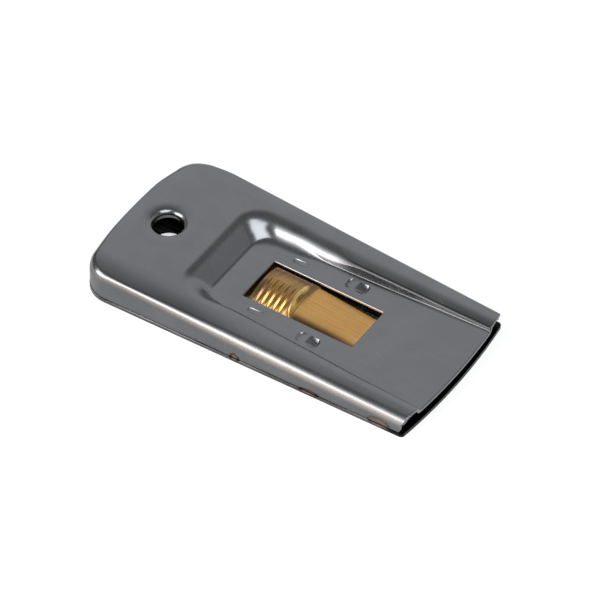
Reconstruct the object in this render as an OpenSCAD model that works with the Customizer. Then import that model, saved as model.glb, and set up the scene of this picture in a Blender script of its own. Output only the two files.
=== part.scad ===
// Razor blade scraper: a wedge-shaped pressed-steel case with a brass thumb slide
// that pushes a single-edge blade out of the open front end.
// X runs from the hang hole to the blade, Y across the case, Z up from the underside.
// The origin is at the middle of the underside.

/* [Sheet metal] */
// Thickness of the case's upper sheet
sheet = 0.9; // [0.7:0.05:1.1]
// Thickness of the bottom plate
plate = 0.9; // [0.7:0.05:1.2]
// Thickness of the thumb slide's spring strip
strip = 0.45; // [0.35:0.05:0.55]
// Thickness of the blade carrier's sheet
carrier_sheet = 0.3; // [0.2:0.05:0.4]

/* [Blade] */
// Length of the cutting edge
blade_width = 38.1; // [36:0.1:40]
// Depth from the back of the spine to the cutting edge
blade_depth = 19; // [18:0.1:20]
// Thickness of the blade
blade_thickness = 0.23; // [0.18:0.01:0.3]
// Depth of the ground bevel
bevel_depth = 1.8; // [1:0.1:3]
// Thickness left at the cutting edge
edge_thickness = 0.05; // [0.03:0.01:0.1]
// Depth of the folded spine
spine_depth = 5.4; // [4.5:0.1:6.5]
// Thickness of the spine's strip
spine_sheet = 0.33; // [0.25:0.01:0.4]
// Radius of the notches in the ends of the blade
notch_radius = 1.1; // [0.6:0.1:1.6]
// How far the spine stops short of each end of the blade
spine_inset = 0.4; // [0.2:0.1:1]

/* [Case] */
// Width of the case at its rear end
rear_width = 44.8; // [43:0.1:48]
// Height of the rails above the channel floor at the front
rail_rise = 1.35; // [1:0.05:1.8]
// Height of the top above the channel floor at the rear
rear_rise = 4.5; // [3.8:0.1:5.2]
// Outer radius along the top edge
edge_radius = 1.9; // [1.5:0.1:2.4]
// Radius of the rear corners seen from above
rear_corner = 7; // [5:0.5:9]
// Radius of the front corners seen from above
front_corner = 1; // [0.6:0.1:1.6]
// How far the middle of the front edge stands ahead of its corners
front_bulge = 1.35; // [0.8:0.05:2]
// How far the middle of the rear edge stands behind its corners
rear_bulge = 1.6; // [0.8:0.1:2.4]
// How far the bottom plate stands out from the walls
plate_lip = 0.15; // [0.05:0.05:0.3]
// Length of the notch that ends each side wall short of the front
wall_relief = 0.9; // [0.5:0.1:1.5]
// Distance from the channel floor's back line to the rear end
rear_land = 27.7; // [26:0.1:32]

/* [Thumb channel] */
// Width of the channel floor at the front
channel_mouth = 28.8; // [27:0.1:30]
// Width of the channel floor at its back line
channel_back = 23.2; // [22:0.1:26]
// Corner radius of the channel floor
channel_corner = 4.5; // [3:0.1:6]
// Angle of the channel's side walls above the floor
side_slope = 41; // [38:1:50]
// Angle of the channel's back wall above the floor
back_slope = 37; // [34:1:45]
// Distance from the front to the window
window_setback = 23.75; // [22.5:0.05:26]
// Floor left behind the window
window_land = 7.1; // [6:0.1:9]
// Gap between the thumb hump and each side of the window
window_gap = 0.7; // [0.4:0.05:1]

/* [Pressed guides] */
// Length of the rear pressed slots
slot_length = 3.9; // [3:0.1:5]
// Width of the rear pressed slots
slot_width = 1.4; // [1:0.1:1.8]
// Distance from the window's back edge to the slots
slot_setback = 3.2; // [2.5:0.1:4]
// Length of the front pressed dimples
dimple_length = 5.2; // [4.4:0.1:6]
// Width of the front pressed dimples
dimple_width = 3.1; // [2.4:0.1:3.6]
// Distance from the window's front edge to the middle of the dimples
dimple_setback = 9.15; // [7:0.05:11]
// How deep the slots and dimples are pressed
press_depth = 0.5; // [0.3:0.05:0.6]
// Wall of the metal drawn down round each slot and dimple
press_wall = 0.4; // [0.3:0.05:0.6]

/* [Hang hole] */
// Radius of the hang hole
hole_radius = 3.7; // [3:0.1:4.5]
// Distance from the rear end to the middle of the hole
hole_setback = 10.2; // [9.5:0.1:12]
// Depth of the drawn-in lip of the upper sheet
hole_lip = 1.6; // [1.3:0.1:2.2]

/* [Thumb slide] */
// Length of the thumb hump
hump_length = 11.95; // [11:0.05:14]
// Width of the thumb hump and its tongue
hump_width = 11.3; // [10:0.1:12.4]
// How far the hump's crown stands above the channel floor
hump_proud = 0.6; // [0.3:0.05:1]
// How far the hump's sides lie below its crown
hump_crown = 1.5; // [1:0.1:1.7]
// Number of thumb ridges
ridge_count = 5; // [4:1:6]
// Height of a thumb ridge
ridge_height = 0.34; // [0.2:0.02:0.4]
// Travel of the slide
slide_travel = 16; // [14:0.5:17]
// Width of the wings that run under the channel floor
wing_width = 15.5; // [14.8:0.1:16.5]
// Width of the tongue where it meets the carrier
tongue_width = 10.4; // [9.4:0.1:11]
// How far the tongue's sides lie below its middle, next to the hump
tongue_crown = 0.3; // [0.1:0.05:0.5]
// Length of the tail behind the hump
tail_length = 2.4; // [1.8:0.1:3]
// Length of the flat lap behind the rivets
lap_length = 2.2; // [1.6:0.1:3]

/* [Carrier] */
// Width of the clip that grips the spine
carrier_width = 34.8; // [32:0.1:36]
// Depth of the clip's upper jaw
upper_jaw = 3.6; // [3:0.1:4.4]
// Depth of the clip's lower jaw
lower_jaw = 4.8; // [4:0.1:5.2]
// Width of the tab under the tongue
tab_width = 13.2; // [12:0.1:14.5]
// Length of the tab under the tongue
tab_length = 9.5; // [8:0.1:11]
// Radius of the rivets
rivet_radius = 0.8; // [0.6:0.05:0.9]
// Radius of the rivet heads
head_radius = 1.2; // [1.1:0.05:1.3]
// Height of the rivet heads
head_height = 0.4; // [0.25:0.05:0.5]
// Distance between the rivets
rivet_spacing = 6; // [5:0.1:7]

/* [Welds] */
// Distance from the front to the first weld
weld_setback = 7.5; // [6:0.1:9]
// Distance between welds
weld_pitch = 18.6; // [16:0.1:20]
// Radius of a weld nugget
weld_radius = 0.3; // [0.2:0.02:0.32]
// Height of a weld nugget
weld_height = 0.8; // [0.5:0.05:1]

/* [Clearances] */
// Gap between the blade's ends and the walls at the front
blade_side_gap = 0.35; // [0.25:0.05:0.6]
// Gap between the carrier and the bottom plate
under_gap = 0.1; // [0.05:0.01:0.2]
// Gap between the carrier and the channel floor's underside
over_gap = 0.35; // [0.3:0.01:0.6]
// Gap between the spine and the carrier's jaws
grip_gap = 0.05; // [0.03:0.01:0.08]
// Gap between the hump and the window's ends at the limits of travel
stop_gap = 0.45; // [0.3:0.05:0.8]
// Gap between the wings and the pressed guides
guide_gap = 0.35; // [0.2:0.05:0.6]
// Gap between the wings and the channel floor's underside
wing_gap = 0.3; // [0.2:0.05:0.5]
// Gap between the tongue's end, the rivet heads and the carrier's web
lap_gap = 0.25; // [0.15:0.05:0.4]
// Distance of the resting blade edge behind the front corners
edge_setback = 0.8; // [0.5:0.1:1.5]

/* [Hidden] */
$fn = 48;
// How far a cut reaches past the face that it opens
overrun = 1;
// Steps in a rounded corner and in a rounded edge
corner_steps = 8;
edge_steps = 5;
// Steps along the thumb hump, along its tongue and across the strip
hump_steps = 48;
tongue_steps = 8;
strip_steps = 8;
// Shares of the hump's length that rise at its back and fall at its front
hump_back_share = 0.16;
hump_front_share = 0.13;
// Share of a channel wall's run that widens its corner radius
corner_growth_share = 0.4;
// Share of the sheet by which the hole's rounding is set into the top and away from the hole
rounding_share = 0.95;
// Number of welds along each side
weld_count = 3;

// Heights, from the plate upwards
carrier_z = plate + under_gap;
tab_z = carrier_z + carrier_sheet;
spine_z = tab_z + grip_gap;
spine_height = 2 * spine_sheet + blade_thickness;
jaw_z = spine_z + spine_height + grip_gap;
jaw_top_z = jaw_z + carrier_sheet;
ceiling_z = jaw_top_z + over_gap;
floor_z = ceiling_z + sheet;
wing_z = ceiling_z - wing_gap;
lap_z = tab_z + strip;
crown_z = floor_z + hump_proud;
blade_z = spine_z + spine_sheet;

// Lengths, along the case
window_length = hump_length + slide_travel + 2 * stop_gap;
case_length = window_setback + window_length + window_land + rear_land;
front_x = case_length / 2;
rear_x = -case_length / 2;
window_front_x = front_x - window_setback;
window_back_x = window_front_x - window_length;
channel_x = window_back_x - window_land;
corner_x = front_x - front_bulge;
edge_x = corner_x - edge_setback;
spine_x = edge_x - blade_depth;
web_x = spine_x - grip_gap - carrier_sheet;
lap_end_x = web_x - lap_gap;
rivet_x = lap_end_x - head_radius;
lap_x = rivet_x - lap_length;
hole_x = rear_x + hole_setback;
hump_back_x = window_back_x + stop_gap;
hump_front_x = hump_back_x + hump_length;
cut_x = front_x + overrun;

// Widths, across the case
front_half = blade_width / 2 + blade_side_gap + sheet + plate_lip;
taper_share = (rear_width / 2 + plate_lip - front_half) / (corner_x - rear_x);
taper_lean_share = sqrt(1 + taper_share * taper_share);
flare_share = (channel_mouth - channel_back) / 2 / (front_x - channel_x);
flare_lean_share = sqrt(1 + flare_share * flare_share);
side_angle = 90 - atan(taper_share);
window_half = hump_width / 2 + window_gap;
guide_half = wing_width / 2 + guide_gap;
press_half = guide_half + press_wall;

// Slope of the top, and the arcs of the front and rear edges
top_angle = atan((rear_rise - rail_rise) / (corner_x - rear_x));
function arc_radius(half, rise) = (half * half + rise * rise) / (2 * rise);
front_arc = arc_radius(front_half, front_bulge);
rear_arc = arc_radius(rear_width / 2 + plate_lip, rear_bulge);
front_arc_x = front_x - front_arc;
rear_arc_x = rear_x + rear_arc;

function mix(a, b, t) = a + (b - a) * t;
function smooth(t) = let (c = min(max(t, 0), 1)) c * c * (3 - 2 * c);
function mirrored(points) = [for (i = [len(points) - 1:-1:0]) [points[i].x, -points[i].y]];
function arc_points(middle, r, from, to, steps) =
    [for (i = [0:steps]) let (t = mix(from, to, i / steps)) middle + r * [cos(t), sin(t)]];

// Height of the sloping top above the underside
function top_z(x) = floor_z + mix(rail_rise, rear_rise, (corner_x - x) / (corner_x - rear_x));

// Half width of the plate's outline, before its corners are rounded
function plate_half(x) = front_half + taper_share * (corner_x - x);

// Middle of the corner circle that touches a side, drawn in by inset, and an end arc
function corner_middle(arc_x, arc_r, inset, r, ahead) =
    let (
        a = plate_half(0) - (inset + r) * taper_lean_share,
        b = -taper_share,
        reach = arc_r - r,
        p = a * b - arc_x,
        q = sqrt(p * p - (1 + b * b) * (arc_x * arc_x + a * a - reach * reach)),
        x = (-p + ahead * q) / (1 + b * b)
    )
    [x, a + b * x];

// Rear part of the outline, drawn in by inset, from the far side round to the middle
function rear_points(inset) =
    let (
        r = rear_corner - inset,
        middle = corner_middle(rear_arc_x, rear_arc - inset, inset, r, -1),
        turn = atan2(middle.y, middle.x - rear_arc_x),
        end = arc_points([rear_arc_x, 0], rear_arc - inset, turn, 180, corner_steps)
    )
    concat(arc_points(middle, r, side_angle, turn, corner_steps), [for (i = [1:corner_steps]) end[i]]);

// Outline drawn in by inset, with its sides run on past the front
function open_outline(inset) =
    let (
        start = [cut_x, plate_half(cut_x) - inset * taper_lean_share],
        far = concat([start], rear_points(inset)),
        near = mirrored(far)
    )
    concat(far, [for (i = [1:len(near) - 1]) near[i]]);

// Outline drawn in by inset at the sides and rear, with its front arc and corners
function closed_outline(inset) =
    let (
        middle = corner_middle(front_arc_x, front_arc, inset, front_corner, 1),
        turn = atan2(middle.y, middle.x - front_arc_x),
        end = arc_points([front_arc_x, 0], front_arc, 0, turn, corner_steps),
        corner = arc_points(middle, front_corner, turn, side_angle, corner_steps),
        far = concat(end, [for (i = [1:corner_steps]) corner[i]], rear_points(inset)),
        near = mirrored(far)
    )
    concat(far, [for (i = [1:len(near) - 2]) near[i]]);

// Outline of the thumb channel at a height above its floor, its faces moved outwards by spread
function channel_outline(height, spread) =
    let (
        side_run = height / tan(side_slope) + spread * tan(side_slope / 2),
        back_run = height / tan(back_slope) + spread * tan(back_slope / 2),
        r = channel_corner + corner_growth_share * side_run,
        half = channel_back / 2 + side_run,
        x = channel_x - back_run + r,
        y = half + flare_share * (x - channel_x) - r * flare_lean_share,
        start = [cut_x, half + flare_share * (cut_x - channel_x)],
        far = concat([start], arc_points([x, y], r, 90 + atan(flare_share), 180, corner_steps))
    )
    concat(far, mirrored(far));

// Closed solid through a stack of rings that have the same number of points
module ring_stack(rings) {
    count = len(rings[0]);
    last = len(rings) - 1;
    sides = [for (k = [0:last - 1]) for (i = [0:count - 1])
        let (a = k * count, b = a + count, j = (i + 1) % count)
        each [[a + i, b + i, b + j], [a + i, b + j, a + j]]];
    bottom = [for (i = [0:count - 1]) i];
    top = [for (i = [count - 1:-1:0]) last * count + i];
    polyhedron([for (ring = rings) each ring], concat(sides, [bottom, top]));
}

// Solid block under the sloping top, its faces drawn in by inset
module case_block(inset, bottom_z) {
    r = edge_radius - inset;
    function ring(angle) =
        let (
            draw = plate_lip + inset + r * (1 - cos(angle)),
            drop = inset + r * (1 - sin(angle))
        )
        [for (p = open_outline(draw)) [p.x, p.y, top_z(p.x) - drop]];
    base = [for (p = open_outline(plate_lip + inset)) [p.x, p.y, bottom_z]];
    ring_stack(concat([base], [for (k = [0:edge_steps]) ring(90 * k / edge_steps)]));
}

// Solid that fills the thumb channel, its faces moved outwards by spread
module channel_block(spread) {
    low = floor_z - spread;
    rise = rear_rise + spread + overrun;
    function ring(height) = [for (p = channel_outline(height, spread)) [p.x, p.y, low + height]];
    ring_stack([ring(0), ring(rise)]);
}

module both_sides() {
    children();
    mirror([0, 1, 0]) children();
}

// Outline of a pressed slot, grown outwards by spread
module slot_outline(spread) {
    translate([window_back_x + slot_setback - spread, press_half - spread])
        square([slot_length + 2 * spread, slot_width + 2 * spread]);
}

// Outline of a pressed dimple, grown outwards by spread
module dimple_outline(spread) {
    r = dimple_width / 2 + spread;
    half = (dimple_length - dimple_width) / 2;
    translate([window_front_x - dimple_setback, press_half + dimple_width / 2]) {
        translate([-half, -r]) square([2 * half, 2 * r]);
        for (side = [-1, 1]) translate([side * half, 0]) circle(r);
    }
}

module pressed_outlines(spread) {
    both_sides() {
        slot_outline(spread);
        dimple_outline(spread);
    }
}

// Weld nuggets between the side walls and the plate
module weld_nuggets() {
    both_sides()
        for (i = [0:weld_count - 1]) {
            x = front_x - weld_setback - i * weld_pitch;
            y = plate_half(x) - plate_lip - sheet / 2;
            translate([x, y, plate - weld_height / 2]) cylinder(h = weld_height, r = weld_radius);
        }
}

module hang_hole() {
    translate([hole_x, 0, -overrun]) cylinder(h = floor_z + rear_rise + 2 * overrun, r = hole_radius);
}

// Rounded mouth of the hang hole's drawn-in lip
module hole_rounding() {
    middle = [hole_radius + rounding_share * sheet, -rounding_share * sheet];
    translate([hole_x, 0, top_z(hole_x)])
        rotate([0, top_angle, 0])
            rotate_extrude()
                difference() {
                    translate([0, middle.y]) square([middle.x, overrun - middle.y]);
                    translate(middle) circle(sheet);
                }
}

// Space between the upper sheet and the plate
module hollow() {
    difference() {
        case_block(sheet, plate - overrun);
        channel_block(sheet);
    }
}

// Notches that end the side walls short of the front
module wall_reliefs() {
    wall = plate_half(corner_x) - plate_lip;
    high = top_z(corner_x) - edge_radius;
    both_sides()
        translate([corner_x - wall_relief, wall - sheet - overrun, 0])
            cube([wall_relief + front_bulge + overrun, sheet + 2 * overrun, high]);
}

module upper_case() {
    color([0.62, 0.63, 0.65])
        difference() {
            union() {
                difference() {
                    intersection() {
                        case_block(0, plate);
                        linear_extrude(floor_z + rear_rise + overrun) polygon(closed_outline(plate_lip));
                    }
                    channel_block(0);
                    hollow();
                }
                translate([hole_x, 0, top_z(hole_x) - hole_lip])
                    cylinder(h = hole_lip - sheet / 2, r = hole_radius + sheet);
                translate([0, 0, ceiling_z - press_depth])
                    linear_extrude(press_depth + sheet / 2) pressed_outlines(press_wall);
            }
            translate([window_back_x, -window_half, ceiling_z - overrun])
                cube([window_length, 2 * window_half, sheet + 2 * overrun]);
            translate([0, 0, floor_z - press_depth])
                linear_extrude(press_depth + overrun) pressed_outlines(0);
            hang_hole();
            hole_rounding();
            wall_reliefs();
            weld_nuggets();
        }
}

module lower_plate() {
    color([0.5, 0.5, 0.51])
        difference() {
            linear_extrude(plate) polygon(closed_outline(0));
            hang_hole();
            weld_nuggets();
        }
}

module seam_welds() {
    color([0.42, 0.36, 0.33]) weld_nuggets();
}

// How far a point of the strip is along the hump's rise, its fall and the tongue
function hump_rise(x) = smooth((x - hump_back_x) / (hump_back_share * hump_length));
function hump_fall(x) = smooth((hump_front_x - x) / (hump_front_share * hump_length));
function along_tongue(x) = min(max((x - hump_front_x) / (lap_x - hump_front_x), 0), 1);

// Height of the thumb ridges at a point along the strip
function ridge(x) =
    let (
        from = hump_back_x + hump_back_share * hump_length,
        to = hump_front_x - hump_front_share * hump_length,
        t = (x - from) / (to - from)
    )
    t < 0 || t > 1 ? 0 : ridge_height * abs(sin(180 * ridge_count * t));

// Half width of the strip
function strip_half(x) = mix(hump_width, tongue_width, along_tongue(x)) / 2;

// Height of the strip's upper face at a share of its half width
function strip_z(x, side_share) =
    let (
        hump = hump_rise(x) * hump_fall(x),
        tongue = x < hump_back_x ? 0 : (1 - hump_fall(x)) * (1 - along_tongue(x)),
        low = mix(wing_z, lap_z, along_tongue(x)) - tongue_crown * tongue,
        edge = mix(low, crown_z - ridge_height - hump_crown, hump),
        crown = hump_crown * hump + tongue_crown * tongue
    )
    edge + ridge(x) + crown * (1 - side_share * side_share);

// Closed sheet between a lower and an upper grid of points, rows running along X
module sheet_solid(lower, upper) {
    rows = len(lower);
    count = len(lower[0]);
    function low(i, j) = i * count + j;
    function up(i, j) = rows * count + low(i, j);
    function quad(a, b, c, d) = [[a, b, c], [a, c, d]];
    faces = [for (i = [0:rows - 2]) for (j = [0:count - 2])
        each concat(
            quad(up(i, j), up(i, j + 1), up(i + 1, j + 1), up(i + 1, j)),
            quad(low(i, j), low(i + 1, j), low(i + 1, j + 1), low(i, j + 1))
        )];
    sides = [for (i = [0:rows - 2]) let (j = count - 1)
        each concat(
            quad(low(i, 0), up(i, 0), up(i + 1, 0), low(i + 1, 0)),
            quad(low(i, j), low(i + 1, j), up(i + 1, j), up(i, j))
        )];
    ends = [for (j = [0:count - 2]) let (i = rows - 1)
        each concat(
            quad(low(0, j + 1), up(0, j + 1), up(0, j), low(0, j)),
            quad(low(i, j), up(i, j), up(i, j + 1), low(i, j + 1))
        )];
    points = concat([for (row = lower) each row], [for (row = upper) each row]);
    polyhedron(points, concat(faces, sides, ends));
}

// Brass strip: tail, ridged hump, tongue and lap, as one bent sheet
module bent_strip() {
    stations = concat(
        [hump_back_x - tail_length],
        [for (i = [0:hump_steps]) mix(hump_back_x, hump_front_x, i / hump_steps)],
        [for (i = [1:tongue_steps]) mix(hump_front_x, lap_x, i / tongue_steps)],
        [lap_end_x]
    );
    shares = [for (j = [0:strip_steps]) 2 * j / strip_steps - 1];
    function grid(drop) =
        [for (x = stations) [for (s = shares) [x, s * strip_half(x), strip_z(x, s) - drop]]];
    sheet_solid(grid(strip), grid(0));
}

module thumb_slide() {
    color([0.78, 0.6, 0.34])
        difference() {
            union() {
                bent_strip();
                for (side = [-1, 1])
                    translate([hump_back_x - tail_length, side > 0 ? hump_width / 2 - strip : -wing_width / 2,
                        wing_z - strip])
                        cube([tail_length + hump_length, (wing_width - hump_width) / 2 + strip, strip]);
            }
            rivet_shanks();
        }
}

module rivet_shanks() {
    for (side = [-1, 1])
        translate([rivet_x, side * rivet_spacing / 2, carrier_z])
            cylinder(h = lap_z - carrier_z, r = rivet_radius);
}

module carrier_rivets() {
    color([0.7, 0.55, 0.32]) {
        rivet_shanks();
        for (side = [-1, 1])
            translate([rivet_x, side * rivet_spacing / 2, lap_z])
                cylinder(h = head_height, r1 = head_radius, r2 = rivet_radius);
    }
}

// Box between two corners
module block(low, high) {
    translate(low) cube(high - low);
}

module blade_carrier() {
    half = carrier_width / 2;
    inner_x = web_x + carrier_sheet;
    color([0.55, 0.56, 0.58])
        difference() {
            union() {
                block([web_x, -half, carrier_z], [inner_x, half, jaw_top_z]);
                block([web_x, -half, carrier_z], [inner_x + lower_jaw, half, tab_z]);
                block([web_x, -half, jaw_z], [inner_x + upper_jaw, half, jaw_top_z]);
                block([web_x - tab_length, -tab_width / 2, carrier_z], [inner_x, tab_width / 2, tab_z]);
            }
            rivet_shanks();
        }
}

// Prism across the case, from an outline in X and Z
module cross_prism(width) {
    translate([0, width / 2, 0]) rotate([90, 0, 0]) linear_extrude(width) children();
}

module razor_blade() {
    back_x = spine_x + spine_sheet;
    bevel = (blade_thickness - edge_thickness) / 2;
    top = blade_z + blade_thickness;
    color([0.8, 0.81, 0.83])
        difference() {
            cross_prism(blade_width)
                polygon([[back_x, blade_z], [edge_x - bevel_depth, blade_z], [edge_x, blade_z + bevel],
                    [edge_x, top - bevel], [edge_x - bevel_depth, top], [back_x, top]]);
            both_sides()
                translate([spine_x + spine_depth + notch_radius, blade_width / 2, blade_z - overrun])
                    cylinder(h = blade_thickness + 2 * overrun, r = notch_radius);
        }
}

module blade_spine() {
    r = spine_height / 2;
    color([0.7, 0.71, 0.73])
        cross_prism(blade_width - 2 * spine_inset)
            difference() {
                union() {
                    translate([spine_x + r, spine_z]) square([spine_depth - r, spine_height]);
                    translate([spine_x + r, spine_z + r]) circle(r);
                }
                translate([spine_x + spine_sheet, blade_z]) square([spine_depth, blade_thickness]);
            }
}

upper_case();
lower_plate();
seam_welds();
thumb_slide();
blade_carrier();
carrier_rivets();
razor_blade();
blade_spine();
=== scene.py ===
"""Looks of the razor blade scraper: smooth pressed sheet metal, camera and studio round its CAD frame."""

import math

import bpy
import numpy as np
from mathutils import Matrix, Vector
from mathutils.geometry import delaunay_2d_cdt


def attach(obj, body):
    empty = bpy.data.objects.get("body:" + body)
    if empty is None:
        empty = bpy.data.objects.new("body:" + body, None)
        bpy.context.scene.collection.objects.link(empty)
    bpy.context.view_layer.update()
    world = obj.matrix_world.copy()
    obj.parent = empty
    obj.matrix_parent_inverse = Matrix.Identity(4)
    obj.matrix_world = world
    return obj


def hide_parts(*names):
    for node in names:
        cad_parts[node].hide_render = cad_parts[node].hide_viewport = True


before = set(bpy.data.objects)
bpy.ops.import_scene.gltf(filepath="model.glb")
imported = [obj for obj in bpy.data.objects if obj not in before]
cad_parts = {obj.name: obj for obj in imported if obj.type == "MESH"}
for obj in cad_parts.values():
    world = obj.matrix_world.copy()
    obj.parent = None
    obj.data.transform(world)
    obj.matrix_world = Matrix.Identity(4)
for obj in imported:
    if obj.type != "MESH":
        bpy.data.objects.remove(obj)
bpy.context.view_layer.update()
scene = bpy.context.scene

# Sizes in millimetres, in the frame of the CAD part
MM = 0.001
SHEET = 0.9
PLATE = 0.9
STRIP = 0.45
FLOOR_Z = 3.84
FRONT_X = 43.7
REAR_X = -43.7
CORNER_X = 42.35
FRONT_HALF = 20.45
REAR_HALF = 22.55
FRONT_BULGE = 1.35
REAR_BULGE = 1.6
FRONT_CORNER = 1.0
REAR_CORNER = 7.0
PLATE_LIP = 0.15
RAIL_RISE = 1.35
REAR_RISE = 4.5
FAR_RELIEF_X = CORNER_X - 1.8
NEAR_RELIEF_X = CORNER_X - 1.1
CHANNEL_X = -16.0
CHANNEL_BACK_HALF = 11.6
CHANNEL_MOUTH_HALF = 14.4
CHANNEL_CORNER = 4.5
CORNER_GROWTH = 0.4
SIDE_TURN = math.radians(41)
BACK_TURN = math.radians(37)
WINDOW_X = (-8.9, 19.95)
WINDOW_HALF = 6.35
WINDOW_CORNER = 0.35
SLOT_X = (-5.7, -1.8)
SLOT_Y = (8.5, 9.9)
SLOT_DEPTH = (0.3, 0.03)
SLOT_CORNER = 0.45
DIMPLE_X = (8.0, 13.6)
DIMPLE_Y = (8.5, 11.6)
DIMPLE_DEPTH = (0.44, 0.88)
DIMPLE_SADDLE = 0.42
DIMPLE_CORNER = 1.1
HOLE_MIDDLE = np.array([-33.5, 0])
HOLE_RADIUS = 3.5
HOLE_LIP = 1.6
HUMP_BACK_X = -8.65
HUMP_FRONT_X = 3.5
HUMP_HALF = 6.25
HUMP_BACK_SHARE = 0.07
HUMP_FRONT_SHARE = 0.13
HUMP_CROWN = 1.6
HUMP_LEAN = 0.8
HUMP_BOW = 0.8
BOW_X = (0, 2)
BOW_END_X = (8, 4)
CROWN_Z = 4.44
RIDGE_COUNT = 5
RIDGE_HEIGHT = 0.27
RIDGE_X = (-7.4, 0.4)
RIDGE_FADE_Y = (-1, HUMP_HALF - 2)
FAR_RIDGE_SHARE = 0.12
ROLL_X = (0.4, 3.2)
ROLL_SHARE = 0.8
WING_HALF = 7.75
WING_Z = 2.64
WING_BEND = 0.7
WING_END_X = HUMP_FRONT_X + 0.5
WING_CORNER = 0.6
TAIL_X = -10.85
TAIL_CORNER = 0.8
TONGUE_HALF = 5.35
TONGUE_START_HALF = 5.9
TONGUE_CROWN = 0.55
STEP_CORNER = 0.5
LAP_X = 18.55
LAP_END_X = 21.95
LAP_Z = 1.75
LAP_CORNER = 0.8
BEVEL_X = 39.75

# Roundings of the pressed sheet that the CAD part leaves sharp, in millimetres
RIM = 0.28
RIM_DEPTH = 0.44
STRIP_RIM = 0.1
NEAR_EDGE = 2.4
FAR_EDGE = 1.3
REAR_EDGE = 0.9
NEAR_CORNER_EDGE = 1.8
FAR_CORNER_EDGE = 3.0
WALL_RADIUS = 5.0
EDGE_TURN = math.radians(70)
HOLE_ROUND = 1.2
DISH_TURN = math.radians(9)
DISH_WIDTH = 2.2
BACK_FOOT = 1.5
BACK_EDGE = 3.8
CROWN_WIDTH = 3.0
CROWN_TURN = math.radians(7)
PRESS_SLOPE = 1.15
PRESS_FOOT = 0.1
PRESS_BRIM = 0.05

# Where the outer edge's rounding changes, in millimetres
EDGE_FAR_Y = (-12, 12)
EDGE_CORNER_Y = (8, 18)
EDGE_CORNER_X = (-30, -39)
EDGE_SIDE_X = (-40, 10)

# Bends of the channel's side walls, in millimetres and degrees: behind, ahead and from where to where
NEAR_LEAD = 14
LEAD_X = (CHANNEL_X, CHANNEL_X + 8)
WALL_TURN = (52, 66, -8, 1)
MOUTH_TURN = (0, 4, 22, 34)
WALL_FOOT = (3.8, 0.22, -8, 2)
MOUTH_FOOT = (0, 0.4, 18, 30)
FRONT_WALL_X = (1, 10)
BACK_WALL_EDGE = 3.6
NEAR_WALL_EDGE = (2.2, 0.9, 25, 40)
FAR_WALL_EDGE = 1.0
BACK_CROWN = 7
NEAR_CROWN = 6
FAR_CROWN = 12
WALL_CROWN_TURN = (17, 14, *FRONT_WALL_X)

# Stations and lines of the meshes: from, to and how many, or how far apart
FRONT_STATIONS = 6
CORNER_STATIONS = 26
REAR_STATIONS = 12
RAIL_STATIONS = (CORNER_X - 6, 6)
SIDE_STATIONS = (CORNER_X - 9, -33, 28)
MOUTH_LINE_X = (FRONT_X, 36, 12)
SIDE_LINE_X = (34, -8, 30)
MOUTH_MARGIN = 0.06
FRONT_ROW_HALF = CHANNEL_MOUTH_HALF - 1
FRONT_ROWS = (0.4, 1.2)
WINDOW_SPACING = 1.2
DISH_SHARES = (0.25, 0.5, 0.75, 1)
WALL_SHARES = ((-0.3, 0, 0.25, 0.5, 0.75), (0, 0.25, 0.5, 0.75), (0, 0.2, 0.4, 0.6, 0.8),
               (0, 0.2, 0.4, 0.6, 0.8, 0.95))
SLOT_GROWTHS = (0.1, 0.05, 0, -0.05, -0.1, -0.16, -0.22, -0.28, -0.36)
DIMPLE_GROWTHS = SLOT_GROWTHS + (-0.45, -0.6, -0.8, -1.0)
PRESS_SPACING = 0.3
CASE_SPOTS_X = (REAR_X + 3, FRONT_X - 2, 2.3)
CASE_SPOTS_Y = (-19, 19.1, 2.1)
SPOT_MARGIN = 0.985
HUMP_LINES_X = (HUMP_BACK_X - 0.1, HUMP_FRONT_X - 0.22, 170)
HUMP_LINE_HALF = HUMP_HALF - 0.15
WING_LINES_Y = (HUMP_HALF - 0.35, HUMP_HALF + 0.38, 7)
WING_LINE_X = (HUMP_BACK_X - 0.5, HUMP_FRONT_X - 0.3, 90)
TONGUE_SPOTS_X = (HUMP_FRONT_X, LAP_END_X - 0.4, 34)
TONGUE_SPOTS_Y = (-4.8, 4.8, 21)
STRIP_SPACING = 0.35
RIM_STEPS = 5
SLOPE_STEP = 0.004
SLIVER = 0.001
REACH_LIMITS = (-6.0, 12.0)
REACH_HALVINGS = 36
RAIL_HALVINGS = 40

BACK_REACH = math.tan(SIDE_TURN) / math.tan(BACK_TURN)
HOLE_EDGE = HOLE_RADIUS + HOLE_ROUND * (1 - math.sin(DISH_TURN))
HUMP_LENGTH = HUMP_FRONT_X - HUMP_BACK_X
TOP_LEAN = (REAR_RISE - RAIL_RISE) / (CORNER_X - REAR_X)
TAPER = (REAR_HALF - FRONT_HALF) / (CORNER_X - REAR_X)
TAPER_LEAN = math.hypot(1, TAPER)
SIDE_NORMAL = np.array([TAPER, 1]) / TAPER_LEAN
SIDE_ANGLE = math.atan2(SIDE_NORMAL[1], SIDE_NORMAL[0])
FLARE = (CHANNEL_MOUTH_HALF - CHANNEL_BACK_HALF) / (FRONT_X - CHANNEL_X)
FLARE_LEAN = math.hypot(1, FLARE)


def arc_radius(half, rise):
    """Radius of an arc from half its chord and its rise."""
    return (half * half + rise * rise) / (2 * rise)


FRONT_ARC = arc_radius(FRONT_HALF, FRONT_BULGE)
REAR_ARC = arc_radius(REAR_HALF, REAR_BULGE)
FRONT_ARC_X = FRONT_X - FRONT_ARC
REAR_ARC_X = REAR_X + REAR_ARC


def mix(a, b, t):
    return a + (b - a) * t


def share_along(value, start, end):
    """Share of the way from a start to an end, from 0 to 1."""
    return np.clip((value - start) / (end - start), 0, 1)


def smooth(value, start=0, end=1):
    """Soft step from 0 at a start to 1 at an end."""
    c = share_along(value, start, end)
    return c * c * (3 - 2 * c)


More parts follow.
